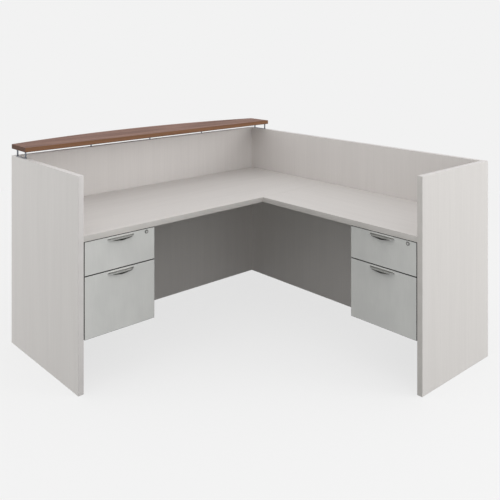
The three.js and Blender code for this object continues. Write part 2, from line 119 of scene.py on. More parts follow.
class DrawerKind(Enum):
    """A shallow drawer for stationery or a deep one for hanging files."""

    BOX = "box"
    FILE = "file"


class Reading(Enum):
    """What a finish reads at a point of the surface.

    The place is in metres. The outlook along an axis is 1 on a face that looks that way, 0 on one
    beside it and -1 on one that looks back.
    """

    PLACE = "Object"
    OUTLOOK = "Normal"


class Slot(Enum):
    """The material slots that the finishes name."""

    LAMINATE = "laminate"
    FRONT = "front_laminate"
    CARCASS = "carcass_board"
    TRAY = "tray_board"
    WALNUT = "walnut"
    METAL = "satin_metal"
    SLIDE = "slide_steel"
    NONE = ""


def linear(hex_colour: str) -> Colour:
    """Turn an sRGB hex colour into linear RGBA.

    Args:
        hex_colour: the colour as "#rrggbb".

    Returns:
        The same colour in linear light, with full alpha.
    """
    parts = [int(hex_colour[start:start + 2], 16) / 255 for start in (1, 3, 5)]
    red, green, blue = [c / 12.92 if c <= 0.04045 else ((c + 0.055) / 1.055) ** 2.4 for c in parts]
    return red, green, blue, 1.0


@dataclass(frozen=True)
class Nodes:
    """The nodes of a material or of the sky, with the steps that several of them share."""

    owner: bpy.types.Material | bpy.types.World

    def __post_init__(self) -> None:
        """Start with no nodes."""
        self.owner.use_nodes = True
        self.owner.node_tree.nodes.clear()

    def add(self, kind: str, inputs: Inputs | None = None, **settings: object) -> Node:
        """Add one node, set its properties and feed its inputs.

        Args:
            kind: the node's Blender type.
            inputs: socket names or numbers, each with a constant or an output to link from.
            **settings: the node's properties, each with its value.

        Returns:
            The new node.
        """
        tree = self.owner.node_tree
        node = tree.nodes.new(kind)
        for name, value in settings.items():
            setattr(node, name, value)
        for socket, value in (inputs or {}).items():
            if isinstance(value, Socket):
                tree.links.new(value, node.inputs[socket])
            else:
                node.inputs[socket].default_value = value
        return node

    def read(self, reading: Reading, axis: Axis) -> Socket:
        """Read the place or the outlook of a surface point along one axis."""
        point = self.add("ShaderNodeTexCoord").outputs[reading.value]
        return self.add("ShaderNodeSeparateXYZ", {"Vector": point}).outputs[axis.name]

    def layer(self, pattern: Socket, span: Span, share: float, under: Paint, over: Paint) -> Socket:
        """Lay one colour over another where a pattern is strong.

        Args:
            pattern: the pattern that the upper colour follows.
            span: the pattern's values where the upper colour starts and where it is full.
            share: how much of the upper colour shows where it is full.
            under: the lower colour.
            over: the upper colour.

        Returns:
            The layered colour.
        """
        limits = {"Value": pattern, "From Min": span[0], "From Max": span[1], "To Max": share}
        amount = self.add("ShaderNodeMapRange", limits, interpolation_type="SMOOTHSTEP")
        # A mix of colours takes them on sockets 6 and 7, and gives its colour on output 2.
        colours = {0: amount.outputs["Result"], 6: under, 7: over}
        return self.add("ShaderNodeMix", colours, data_type="RGBA").outputs[2]

    def skin(
        self, colour: Socket, marks: Socket, gloss: Span, depth_mm: float, even: Inputs | None = None
    ) -> Node:
        """Close a finish with a shader whose gloss and relief follow its marks.

        Args:
            colour: the surface's colour.
            marks: the pattern that the gloss and the relief follow.
            gloss: the roughness where the marks are weak and where they are strong.
            depth_mm: how deep the relief is.
            even: the shader's other sockets, each the same all over the surface.

        Returns:
            The shader node.
        """
        (weak, strong), (least, most) = MIDDLE, gloss
        limits = {"From Min": weak, "From Max": strong, "To Min": least, "To Max": most}
        rough = self.add("ShaderNodeMapRange", {"Value": marks, **limits})
        relief = {"Height": marks, "Distance": depth_mm * MM, "Strength": BUMP_STRENGTH}
        surface = {
            "Base Color": colour,
            "Roughness": rough.outputs["Result"],
            "Normal": self.add("ShaderNodeBump", relief).outputs["Normal"],
        }
        return self.add("ShaderNodeBsdfPrincipled", {**surface, **(even or {})})

    def seen(self) -> Socket:
        """Say whether a ray comes from the camera, straight or by way of gloss or glass.

        Returns:
            1 for such a ray, and 0 for one that only carries light.
        """
        ray = self.add("ShaderNodeLightPath").outputs
        told = ray["Is Camera Ray"]
        for kind in ("Is Glossy Ray", "Is Transmission Ray"):
            either = self.add("ShaderNodeMath", {0: told, 1: ray[kind]}, operation="MAXIMUM")
            told = either.outputs[0]
        return told


@dataclass(frozen=True)
class Grain:
    """Marks of a real width and length, and how they show in a finish.

    The span gives the pattern's values where a mark starts and where it is full, and the share
    how much of its colour then shows.
    """

    width_mm: float
    length_mm: float
    detail: float = 2.0
    wander: float = 0.0
    span: Span = MIDDLE
    share: float = 1.0
    roughness: float = 0.55

    def draw(self, nodes: Nodes, along: Axis) -> Socket:
        """Draw the marks.

        Args:
            nodes: the nodes that take the pattern.
            along: the axis that the marks run along.

        Returns:
            The pattern's value, from 0 to 1.
        """
        scale = [1 / (self.width_mm * MM)] * 3
        scale[along.value] = 1 / (self.length_mm * MM)
        place = nodes.add("ShaderNodeTexCoord").outputs["Object"]
        drawn_out = nodes.add("ShaderNodeMapping", {"Vector": place, "Scale": scale})
        noise = {
            "Vector": drawn_out.outputs["Vector"],
            "Scale": 1.0,
            "Detail": self.detail,
            "Roughness": self.roughness,
            "Distortion": self.wander,
        }
        return nodes.add("ShaderNodeTexNoise", noise).outputs["Fac"]

    def lay(self, nodes: Nodes, pattern: Socket, under: Paint, over: Paint) -> Socket:
        """Lay the marks' colour over another, as far as the marks show."""
        return nodes.layer(pattern, self.span, self.share, under, over)


@dataclass(frozen=True)
class Finish:
    """A surface finish that can make its own material."""

    name: str
    slot: Slot

    def material(self) -> bpy.types.Material:
        """Give the finish's material, and make it the first time.

        Returns:
            The material that carries this finish.
        """
        made = bpy.data.materials.get(self.name)
        if made is None:
            made = bpy.data.materials.new(self.name)
            nodes = Nodes(made)
            shader = self.shader(nodes)
            nodes.add("ShaderNodeOutputMaterial", {"Surface": shader.outputs[0]})
        return made

    def shader(self, nodes: Nodes) -> Node:
        """Build the finish's shader among its material's nodes."""
        raise NotImplementedError


@dataclass(frozen=True)
class MarkedFinish(Finish):
    """One pale colour, with marks of a deeper one laid over it in turn."""

    pale: str
    deep: str
    along: Axis
    marks: tuple[Grain, ...]
    gloss: Span
    relief_mm: float
    metallic: float = 0.0

    def shader(self, nodes: Nodes) -> Node:
        """Lay the marks on, and let the last of them break the gloss.

        Args:
            nodes: the material's nodes.

        Returns:
            The shader node.
        """
        tone, deep = linear(self.pale), linear(self.deep)
        for grain in self.marks:
            pattern = grain.draw(nodes, self.along)
            tone = grain.lay(nodes, pattern, tone, deep)
        return nodes.skin(tone, pattern, self.gloss, self.relief_mm, {"Metallic": self.metallic})


@dataclass(frozen=True)
class WoodgrainLaminate(MarkedFinish):
    """Printed woodgrain laminate on board.

    The eye sees wide drifts of tone, faint long streaks along the grain and short pores, all
    within a few percent of one pale colour, under an even matte sheen. Real print pores are about
    0.4 mm wide. They are drawn coarser, so that they show.
    """

    marks: tuple[Grain, ...] = (
        Grain(60.0, 840.0, wander=0.6, share=0.36),
        Grain(9.0, 495.0, 3.0, 0.3, (0.42, 0.72), 0.36),
        Grain(2.2, 48.4, 1.0, span=(0.58, 0.78), share=0.36),
    )
    gloss: Span = (0.48, 0.54)
    relief_mm: float = 0.06


@dataclass(frozen=True)
class SilverLaminate(MarkedFinish):
    """Smooth silver-grey laminate of a drawer front.

    The eye sees one cool, faintly cloudy grey with a soft satin gloss, and close to, a barely
    visible upright brush mark. The brush lines are about 0.2 mm on the real sheet. They are drawn
    coarser, to show.
    """

    along: Axis = Axis.Z
    marks: tuple[Grain, ...] = (Grain(90.0, 160.0, share=0.5), Grain(1.6, 96.0, share=0.4))
    gloss: Span = (0.36, 0.44)
    relief_mm: float = 0.02
    metallic: float = 0.1


@dataclass(frozen=True)
class MouldedSkin(MarkedFinish):
    """A plain pressed or moulded skin: melamine paper, edge banding or rubber.

    The eye sees one even colour with a fine orange-peel, and slightly uneven gloss.
    """

    along: Axis = Axis.X
    marks: tuple[Grain, ...] = (
        Grain(70.0, 70.0, share=0.7),
        Grain(1.5, 1.5, span=(0.5, 0.75), share=0.35),
    )
    gloss: Span = (0.38, 0.47)
    relief_mm: float = 0.04


@dataclass(frozen=True)
class WalnutVeneer(Finish):
    """Walnut veneer with a lacquered solid lipping.

    The eye sees brown figure in long drifting bands, darker growth lines, short dark pores, a
    low matte gloss, warmer brown on the lipped edges and deep brown on the end grain. A dark band
    along the lipping's lower arris is painted shade. Growth lines are 2 to 3 mm apart and pores
    0.2 mm wide. Both are drawn coarser, to show.
    """

    pale: str
    mid: str
    deep: str
    lipping: str
    grain_and_low_shade: str
    end_grain: str
    grain: Axis
    underside_mm: float
    low_shade_mm: float = 4.0
    band: Grain = Grain(45.0, 720.0, wander=1.2, span=(0.35, 0.65))
    line: Grain = Grain(12.0, 840.0, 3.0, 0.5, (0.45, 0.7), 0.5)
    pore: Grain = Grain(1.4, 16.8, 1.0, span=(0.56, 0.74), share=0.45)
    lipping_span: Span = (0.4, 0.75)
    lipping_share: float = 0.4
    end_spans: tuple[Span, Span] = ((0.5, 0.9), (-0.5, -0.9))
    level_span: Span = (0.3, 0.8)
    gloss: Span = (0.58, 0.68)
    relief_mm: float = 0.08
    specular: float = 0.2

    def shader(self, nodes: Nodes) -> Node:
        """Mix figure, growth lines and pores, and turn the edges to lipping.

        Args:
            nodes: the material's nodes.

        Returns:
            The shader node.
        """
        band, line, pore = (g.draw(nodes, self.grain) for g in (self.band, self.line, self.pore))
        deep, lipping, grain_and_low_shade = linear(self.deep), linear(self.lipping), linear(self.grain_and_low_shade)
        veneer = self.band.lay(nodes, band, linear(self.pale), linear(self.mid))
        veneer = self.line.lay(nodes, line, veneer, deep)
        veneer = self.pore.lay(nodes, pore, veneer, deep)
        edge = nodes.layer(line, self.lipping_span, self.lipping_share, lipping, grain_and_low_shade)
        # Painted shade: the lipping turns dark along its lower arris, just over the underside.
        height = nodes.read(Reading.PLACE, Axis.Z)
        start, full = ((self.underside_mm + self.low_shade_mm * share) * MM for share in (1.0, 0.5))
        edge = nodes.layer(height, (start, full), 1.0, edge, grain_and_low_shade)
        ends = nodes.read(Reading.OUTLOOK, self.grain)
        for span in self.end_spans:
            edge = nodes.layer(ends, span, 1.0, edge, linear(self.end_grain))
        level = nodes.read(Reading.OUTLOOK, Axis.Z)
        colour = nodes.layer(level, self.level_span, 1.0, edge, veneer)
        sheen = {"Specular IOR Level": self.specular}
        return nodes.skin(colour, pore, self.gloss, self.relief_mm, sheen)


@dataclass(frozen=True)
class SatinMetal(Finish):
    """Plated metal with a satin brush.

    The eye sees a grey metal whose highlights are drawn out along the brushing, with faint tone
    changes from mark to mark. Faces that look up carry a painted highlight, the ends along the
    brush half as much, and faces that lean down carry painted shade.
    """

    pale: str
    deep: str
    painted_highlight: str
    shaded: str
    brush: Axis
    mark: Grain = Grain(0.9, 36.0, share=0.6)
    wear: Grain = Grain(14.0, 30.0, share=0.4)
    painted_highlight_mark: float = 0.15
    end_highlight_share: float = 0.5
    end_spans: tuple[Span, Span] = ((0.3, 0.6), (-0.3, -0.6))
    level_span: Span = (0.4, 0.9)
    leaning_span: Span = (-0.1, -0.3)
    gloss: Span = (0.31, 0.45)
    relief_mm: float = 0.02

    def shader(self, nodes: Nodes) -> Node:
        """Break the metal's gloss and tone with brush marks.

        Args:
            nodes: the material's nodes.

        Returns:
            The shader node.
        """
        mark, wear = (g.draw(nodes, self.brush) for g in (self.mark, self.wear))
        deep = linear(self.deep)
        painted_highlight = nodes.layer(mark, self.mark.span, self.painted_highlight_mark, linear(self.painted_highlight), deep)
        tone = self.mark.lay(nodes, mark, linear(self.pale), deep)
        tone = self.wear.lay(nodes, wear, tone, deep)
        # Painted highlight on the ends and on faces that look up, and painted shade on faces that
        # lean down.
        ends = nodes.read(Reading.OUTLOOK, self.brush)
        for span in self.end_spans:
            tone = nodes.layer(ends, span, self.end_highlight_share, tone, painted_highlight)
        level = nodes.read(Reading.OUTLOOK, Axis.Z)
        tone = nodes.layer(level, self.level_span, 1.0, tone, painted_highlight)
        tone = nodes.layer(level, self.leaning_span, 1.0, tone, linear(self.shaded))
        return nodes.skin(tone, mark, self.gloss, self.relief_mm, {"Metallic": 1.0})


@dataclass(frozen=True)
class SpangledZinc(Finish):
    """Zinc-plated pressed steel.

    The eye sees a cool, lightly mottled silver whose crystal patches differ a little in gloss.
    """

    pale: str
    deep: str
    patch_mm: float = 7.0
    gloss: Span = (0.34, 0.42)
    relief_mm: float = 0.01

    def shader(self, nodes: Nodes) -> Node:
        """Vary tone and gloss from crystal patch to crystal patch.

        Args:
            nodes: the material's nodes.

        Returns:
            The shader node.
        """
        place = nodes.add("ShaderNodeTexCoord").outputs["Object"]
        scale = 1 / (self.patch_mm * MM)
        patch = nodes.add("ShaderNodeTexVoronoi", {"Vector": place, "Scale": scale})
        parts = nodes.add("ShaderNodeSeparateXYZ", {"Vector": patch.outputs["Color"]})
        shade = parts.outputs["X"]
        tone = nodes.layer(shade, (0.0, 1.0), 1.0, linear(self.pale), linear(self.deep))
        return nodes.skin(tone, shade, self.gloss, self.relief_mm, {"Metallic": 1.0})


@dataclass(frozen=True)
class StudioPaper(Finish):
    """Matte backdrop paper, rolled out under the desk.

    The eye sees the backdrop's own pale tone. Near the desk it takes a share of the desk's shadow,
    which fades out between the two radii.
    """

    backdrop: str
    lit: str
    shade: str
    shadow_share: float = 0.187
    clear_radius: float = 2.1
    fade_radius: float = 4.6

    def shader(self, nodes: Nodes) -> Node:
        """Show the paper to the camera, and a plain grey to the rays that only carry light.

        Args:
            nodes: the material's nodes.

        Returns:
            The shader node.
        """
        matte = nodes.add("ShaderNodeBsdfDiffuse", {"Color": linear(self.shade)}).outputs[0]
        lit = nodes.add("ShaderNodeBsdfDiffuse", {"Color": linear(self.lit)}).outputs[0]
        glow = nodes.add("ShaderNodeEmission", {"Color": linear(self.backdrop)}).outputs[0]
        place = nodes.add("ShaderNodeTexCoord").outputs["Object"]
        away = nodes.add("ShaderNodeVectorMath", {0: place}, operation="LENGTH")
        limits = {
            "Value": away.outputs["Value"],
            "From Min": self.clear_radius,
            "From Max": self.fade_radius,
            "To Min": 1.0 - self.shadow_share,
        }
        faded = nodes.add("ShaderNodeMapRange", limits, interpolation_type="SMOOTHSTEP")
        shown = nodes.add("ShaderNodeMixShader", {0: faded.outputs["Result"], 1: lit, 2: glow})
        return nodes.add("ShaderNodeMixShader", {0: nodes.seen(), 1: matte, 2: shown.outputs[0]})


# The axes of the desk that run across each pedestal and into it.
ACROSS = {Side.LEFT: Axis.Y, Side.RIGHT: Axis.X}
INTO = {Side.LEFT: Axis.X, Side.RIGHT: Axis.Y}

ASH = ("#dad6d3", "#d2cecb")
UPRIGHT = WoodgrainLaminate("ash_laminate_upright", Slot.LAMINATE, *ASH, Axis.Z)
ALONG_MAIN = WoodgrainLaminate("ash_laminate_main", Slot.LAMINATE, *ASH, Axis.Y)
ALONG_RETURN = WoodgrainLaminate("ash_laminate_return", Slot.LAMINATE, *ASH, Axis.X)
FINE_PRINT = (
    Grain(45.0, 630.0, wander=0.6, share=0.36),
    Grain(6.0, 330.0, 3.0, 0.3, (0.42, 0.72), 0.36),
    Grain(1.8, 39.6, 1.0, span=(0.58, 0.78), share=0.36),
)
DRAWER_BOARD = {
    side: WoodgrainLaminate(
        f"maple_drawer_board_{side.value}", Slot.TRAY, "#d8cbb6", "#c2b196", axis, FINE_PRINT
    )
    for side, axis in INTO.items()
}
FRONT_SKIN = SilverLaminate("silver_laminate", Slot.FRONT, "#d3d3d0", "#c7c7c5")
CAPPING = MouldedSkin("pvc_panel_cap", Slot.LAMINATE, "#dad6d4", "#d3cfcd")
# The edge band is the cap's PVC made a little darker: painted shade on the edges that it covers.
SHADED_BANDING = MouldedSkin("pvc_edge_band_painted_shade", Slot.LAMINATE, "#ccc8c4", "#c4c0bc")
# The drawer fronts' band is near-black: partly the band's own dark colour, partly painted shade for
# the gaps between the fronts.
FRONT_BAND_AND_GAP_SHADE = MouldedSkin("pvc_graphite_band_and_gap_shade", Slot.FRONT, "#2e2e2d", "#282827", gloss=(0.41, 0.5))
MELAMINE = MouldedSkin("grey_melamine", Slot.CARCASS, "#c2c0bc", "#b7b5b1", gloss=(0.51, 0.6))
RUBBER_PEEL = (Grain(70.0, 70.0, share=0.7), Grain(1.0, 1.0, span=(0.5, 0.75), share=0.35))
RUBBER = MouldedSkin(
    "grey_rubber", Slot.NONE, "#3a3a3a", "#2f2f2f", marks=RUBBER_PEEL, gloss=(0.66, 0.75)
)
# Each satin metal's third colour is a painted highlight for faces that look up, and its fourth is
# painted shade for faces that lean down.
POST_NICKEL = SatinMetal(
    "satin_nickel_post", Slot.METAL, "#9fa3aa", "#7b8087", "#b4b6ba", "#6a6e74", Axis.Z
)
PULL_NICKEL = {
    side: SatinMetal(
        f"satin_nickel_{side.value}", Slot.METAL, "#6a6a67", "#5c5c59", "#ececea", "#30302e", axis
    )
    for side, axis in ACROSS.items()
}
FINE_BRUSH = Grain(0.5, 20.0, share=0.6)
LOCK_NICKEL = SatinMetal(
    "satin_nickel_lock", Slot.METAL, "#848482", "#70706e", "#949492", "#646462", Axis.Z, FINE_BRUSH
)
PLUG_NICKEL = SatinMetal(
    "satin_nickel_plug", Slot.METAL, "#c2c2c0", "#aeaeac", "#c2c2c0", "#8c8c8a", Axis.Z, FINE_BRUSH
)
ZINC = SpangledZinc("zinc_plated_steel", Slot.SLIDE, "#c0c2c4", "#b2b5b8")
PAPER = StudioPaper("studio_paper", Slot.NONE, "#f2f2f2", "#f9f9f9", "#7d817f")


def add_block(mesh: BMesh, corner: Iterable[float], opposite: Iterable[float]) -> list[BMVert]:
    """Add a block between two opposite corners, as the start of a shape.

    Args:
        mesh: the mesh that takes the block.
        corner: one corner.
        opposite: the corner that lies opposite.

    Returns:
        The block's vertices.
    """
    start, end = Vector(corner), Vector(opposite)
    size = [abs(step) for step in end - start]
    place = Matrix.Translation((start + end) / 2) @ Matrix.Diagonal((*size, 1.0))
    return bmesh.ops.create_cube(mesh, size=1.0, matrix=place)["verts"]


def round_over(
    mesh: BMesh, parts: Iterable[BMEdge | BMVert], radius: float, segments: int = 2
) -> None:
    """Round some edges over, or the corners of a flat outline.

    Args:
        mesh: the mesh that holds them.
        parts: the edges, or the corners' vertices.
        radius: how far the rounding reaches from each of them.
        segments: how many strips make the rounding.
    """
    geometry = list(parts)
    flat = all(isinstance(part, BMVert) for part in geometry)
    bmesh.ops.bevel(
        mesh,
        geom=geometry,
        offset=radius,
        offset_type="OFFSET",
        segments=segments,
        profile=0.5,
        affect="VERTICES" if flat else "EDGES",
        clamp_overlap=True,
        material=-1,
    )


def split(
    mesh: BMesh, faces: Iterable[BMFace], axis: Axis, at: float, clear: bool = False
) -> list[BMEdge]:
    """Part some faces along a plane that is square to an axis.

    Args:
        mesh: the mesh that holds the faces.
        faces: the faces to part.
        axis: the axis.
        at: where the plane crosses it.
        clear: whether what lies past the plane is taken away.

    Returns:
        The edges along the plane.
    """
    parted = list(faces)
    edges = dict.fromkeys(edge for face in parted for edge in face.edges)
    verts = dict.fromkeys(vert for face in parted for vert in face.verts)
    cut = bmesh.ops.bisect_plane(
        mesh,
        geom=[*verts, *edges, *parted],
        plane_co=axis.unit * at,
        plane_no=axis.unit,
        clear_outer=clear,
        dist=DOUBLES,
    )
    return [part for part in cut["geom_cut"] if isinstance(part, BMEdge)]


def turn(mesh: BMesh, profile: Sequence[Span], axis: Axis, steps: int = 32) -> None:
    """Turn a profile about an axis through the origin, as on a lathe.

    Args:
        mesh: the mesh that takes the turned shape.
        profile: radius and height of each point, in order.
        axis: the axis to turn about, either Y or Z.
        steps: how many strips make a full turn.
    """
    points = [Axis.X.unit * radius + axis.unit * height for radius, height in profile]
    verts = [mesh.verts.new(point) for point in points]
    edges = [mesh.edges.new(pair) for pair in zip(verts, verts[1:])]
    bmesh.ops.spin(
        mesh,
        geom=[*verts, *edges],
        cent=(0, 0, 0),
        axis=axis.unit,
        angle=math.tau,
        steps=steps,
        use_merge=True,
    )
    bmesh.ops.remove_doubles(mesh, verts=mesh.verts, dist=DOUBLES)
    bmesh.ops.recalc_face_normals(mesh, faces=mesh.faces)


def moved(made: dict[str, list], kind: type) -> list:
    """Pick one kind of element out of an operator's result."""
    return [part for part in made["geom"] if isinstance(part, kind)]


def sharp_edges(mesh: BMesh) -> list[BMEdge]:
    """Find the edges where two faces meet at a sharp angle."""
    shared = [edge for edge in mesh.edges if len(edge.link_faces) == 2]
    return [edge for edge in shared if edge.calc_face_angle() > SHARP_ANGLE]


def edges_along(block: Iterable[BMVert], axis: Axis) -> list[BMEdge]:
    """Find the edges of a block that run along an axis."""
    edges = dict.fromkeys(edge for vert in block for edge in vert.link_edges)
    return [e for e in edges if abs((e.verts[1].co - e.verts[0].co)[axis.value]) > TOUCHING]


def faces_at(mesh: BMesh, axis: Axis, at: float) -> list[BMFace]:
    """Find the faces whose middle lies at a place along an axis."""
    return [f for f in mesh.faces if abs(f.calc_center_median()[axis.value] - at) < TOUCHING]


def add_object(name: str, data: bpy.types.ID | None) -> bpy.types.Object:
    """Put a new object into the scene.

    Args:
        name: the object's name.
        data: its mesh, lamp or lens, or nothing for a plain stand.

    Returns:
        The object.
    """
    made = bpy.data.objects.new(name, data)
    bpy.context.scene.collection.objects.link(made)
    return made


def make_piece(
    name: str,
    mesh: BMesh,
    body: str,
    finish: Finish,
    place: Matrix = WORLD,
    stands_for: str | None = None,
) -> None:
    """Place a modelled mesh on the desk as a finished piece.

    Args:
        name: the piece's name.
        mesh: the modelled mesh, in millimetres.
        body: the moving body that carries the piece.
        finish: the piece's finish.
        place: where the mesh's own frame lies on the desk.
        stands_for: the solid that this piece is shown in place of.
    """
    bmesh.ops.transform(mesh, matrix=place, verts=mesh.verts)
    bmesh.ops.recalc_face_normals(mesh, faces=mesh.faces)
    data = bpy.data.meshes.new(name)
    mesh.to_mesh(data)
    mesh.free()
    data.shade_smooth()
    data.set_sharp_from_angle(angle=SMOOTH_ANGLE)
    data.materials.append(finish.material())
    piece = add_object(name, data)
    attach(piece, body)
    if stands_for:
        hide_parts(stands_for)
    log.info("%s: %d faces on %s, %s", name, len(data.polygons), body, finish.name)


def dress(node: str, finish: Finish) -> None:
    """Give a solid of the frame its finish.

    Args:
        node: the solid's name.
        finish: the finish that its surface gets.
    """
    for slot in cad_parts[node].material_slots:
        slot.material = finish.material()
    log.info("%s: %s", node, finish.name)


def corners(node: str) -> tuple[Vector, Vector]:
    """Give a solid's lowest and highest corners in millimetres."""
    low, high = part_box(node)
    return low / MM, high / MM


@dataclass(frozen=True)
class Screw:
    """A low screw head with a twelve-sided socket. Its other sizes are shares of its diameter."""

    head: float = 8.0
    rise: float = 0.3
    crown: float = 0.8
    rim: float = 0.18
    socket_depth: float = 0.18
    sides: int = 12

    def build(self, mesh: BMesh, seat: Iterable[float], face: Face) -> None:
        """Add the screw to a mesh.

        Args:
            mesh: the mesh that takes the screw.
            seat: where the head sits.
            face: the side that the head looks to.
        """
        out, rise = face.normal, self.head * self.rise
        swing = Face.TOP.normal.rotation_difference(out).to_matrix().to_4x4()
        made = bmesh.ops.create_cone(
            mesh,
            cap_ends=True,
            segments=self.sides,
            radius1=self.head / 2,
            radius2=self.head * self.crown / 2,
            depth=rise,
            matrix=Matrix.Translation(seat) @ swing @ Matrix.Translation((0, 0, rise / 2)),
        )
        parts = [part for vert in made["verts"] for part in vert.link_faces]
        crown = max(parts, key=lambda part: part.calc_center_median().dot(out))
        rim = self.head * self.rim
        bmesh.ops.inset_individual(mesh, faces=[crown], thickness=rim, use_even_offset=True)
        socket = bmesh.ops.extrude_discrete_faces(mesh, faces=[crown])["faces"][0]
        bmesh.ops.translate(mesh, vec=out * -self.head * self.socket_depth, verts=socket.verts)


@dataclass(frozen=True)
class EdgeBand:
    """A glued strip of edge banding with its arrises rounded over."""

    node: str
    face: Face
    thickness: float = 1.2
    proud: float = 0.25
    arris: float = 0.9
    segments: int = 3

    @property
    def lap(self) -> float:
        """How deep the strip reaches into the board's own outline."""
        return self.thickness - self.proud

    def build(self, mesh: BMesh, trim: tuple[Axis, float, float] | None = None) -> None:
        """Model the strip over one edge of a board.

        Args:
            mesh: the mesh that takes the strip.
            trim: an axis with the limits that the strip keeps to along it.
        """
        low, high = corners(self.node)
        axis, sign = self.face.value
        edge = (high if sign > 0 else low)[axis.value]
        outer = edge + sign * self.proud
        low[axis.value], high[axis.value] = outer, edge - sign * self.lap
        if trim:
            along, start, end = trim
            low[along.value], high[along.value] = start, end
        verts = add_block(mesh, low, high)
        rim = [vert for vert in verts if abs(vert.co[axis.value] - outer) < TOUCHING]
        edges = [e for vert in rim for e in vert.link_edges if e.other_vert(vert) in rim]
        round_over(mesh, dict.fromkeys(edges), self.arris, self.segments)


@dataclass
class Shell:
    """The full-height panels, the two worksurfaces and the steel cleats under them."""

    panels: tuple[str, ...] = ("main_panel", "return_panel", "left_end_panel", "right_end_panel")
    cleat_gauge: float = 3.0
    screw: Screw = Screw(9.0)
    screw_pitch: float = 270.0
    screw_line: float = 0.6

    def dress(self) -> None:
        """Give the boards their woodgrain, upright on panels and along the worksurfaces."""
        for node in self.panels:
            dress(node, UPRIGHT)
        dress("main_worksurface", ALONG_MAIN)
        dress("return_worksurface", ALONG_RETURN)
        for node in ("main_cleat", "return_cleat"):
            dress(node, ZINC)

    def build(self) -> None:
        """Model the edge bands and the cleats' screws."""
        self.build_bands()
        self.build_cleat_screws("main_cleat", Axis.Y, Face.RIGHT)
        self.build_cleat_screws("return_cleat", Axis.X, Face.FRONT)

    def build_bands(self) -> None:
        """Model a band on each board edge that shows."""
        start, stop = (corners(f"{run}_worksurface")[0].y for run in ("main", "return"))
        bands = [(node, "top", Face.TOP, CAPPING, None) for node in self.panels]
        # The darker banding on the fronts of the right end panel and the worksurfaces is painted
        # shade.
        bands += [
            ("left_end_panel", "front", Face.RIGHT, CAPPING, None),
            ("right_end_panel", "front", Face.FRONT, SHADED_BANDING, None),
            ("main_worksurface", "front", Face.RIGHT, SHADED_BANDING, (Axis.Y, start, stop)),
            ("return_worksurface", "front", Face.FRONT, SHADED_BANDING, None),
        ]
        for node, edge, face, finish, trim in bands:
            mesh = bmesh.new()
            EdgeBand(node, face).build(mesh, trim)
            make_piece(f"{node}_{edge}_band", mesh, "desk", finish)

    def build_cleat_screws(self, node: str, run: Axis, face: Face) -> None:
        """Model the screws along both legs of one cleat.

        Args:
            node: the cleat.
            run: the axis that the cleat runs along.
            face: the side that its upright leg looks to.
        """
        low, high = corners(node)
        length = high[run.value] - low[run.value]
        count = max(2, round(length / self.screw_pitch))
        line = (high.z - low.z) * self.screw_line
        out, down = face.normal, Face.UNDER.normal
        mesh = bmesh.new()
        for index in range(count):
            heel = Vector(low if face.value[1] > 0 else high)
            heel[run.value] = low[run.value] + length * (index + 0.5) / count
            heel.z = high.z
            self.screw.build(mesh, heel + out * self.cleat_gauge + down * line, face)
            self.screw.build(mesh, heel + out * line + down * self.cleat_gauge, Face.UNDER)
        make_piece(f"{node}_screws", mesh, "desk", ZINC)


@dataclass
class Counter:
    """The bowed walnut counter and the turned standoffs that carry it."""

    post: float = 9.0
    flange: float = 14.0
    flange_thickness: float = 2.0
    arris: float = 0.35
    sunk: float = 0.5
    bar_corner: float = 6.72
    bar_segments: int = 8
    singles: tuple[str, ...] = ("standoff_post_1", "standoff_post_2", "standoff_post_3")
    pairs: tuple[str, ...] = ("left_standoff_bracket", "right_standoff_bracket")

    def dress(self) -> None:
        """Give the counter its veneer, with painted shade just over its underside."""
        veneer = WalnutVeneer(
            "walnut_veneer",
            Slot.WALNUT,
            pale="#987567",
            mid="#7c5a4d",
            deep="#4f3428",
            lipping="#825e44",
            grain_and_low_shade="#54301d",
            end_grain="#5c4033",
            grain=Axis.Y,
            underside_mm=corners("transaction_counter")[0].z,
        )
        dress("transaction_counter", veneer)

    def build(self) -> None:
        """Model the turned posts and the paired brackets at the ends."""
        for node in self.singles:
            low, high = corners(node)
            mesh = self.turned_post(high.z - low.z, True)
            centre = Matrix.Translation(((low.x + high.x) / 2, (low.y + high.y) / 2, low.z))
            make_piece(f"{node}_turned", mesh, "desk", POST_NICKEL, WORLD @ centre, node)
        for node in self.pairs:
            self.build_bracket(node)

    def turned_post(self, height: float, foot: bool) -> BMesh:
        """Turn one post with a flange at its head.

        Args:
            height: the post's full height.
            foot: whether a second flange stands at its foot, or the post is sunk into a bar.

        Returns:
            The turned mesh, with its foot on the origin.
        """
        shaft, rim, thick = self.post / 2, self.flange / 2, self.flange_thickness
        if foot:
            base = [(0, 0), (rim, 0), (rim, thick), (shaft, thick)]
        else:
            base = [(0, self.sunk), (shaft, self.sunk)]
        head = [(shaft, height - thick), (rim, height - thick), (rim, height), (0, height)]
        mesh = bmesh.new()
        turn(mesh, [*base, *head], Axis.Z)
        round_over(mesh, sharp_edges(mesh), self.arris)
        return mesh

    def build_bracket(self, node: str) -> None:
        """Model two posts on one foot bar, which lies along the end panel's top.

        Args:
            node: the bracket's solid.
        """
        low, high = corners(node)
        middle, half = (low.y + high.y) / 2, self.flange / 2
        mesh = self.turned_post(high.z - low.z, False)
        bmesh.ops.translate(mesh, vec=(low.x + half, middle, low.z), verts=mesh.verts)
        twin = bmesh.ops.duplicate(mesh, geom=[*mesh.verts, *mesh.edges, *mesh.faces])
        apart = high.x - low.x - self.flange
        bmesh.ops.translate(mesh, vec=(apart, 0, 0), verts=moved(twin, BMVert))
        top = low.z + self.flange_thickness
        bar = add_block(mesh, (low.x, middle - half, low.z), (high.x, middle + half, top))
        round_over(mesh, edges_along(bar, Axis.Z), self.bar_corner, self.bar_segments)
        make_piece(f"{node}_turned", mesh, "desk", POST_NICKEL, stands_for=node)


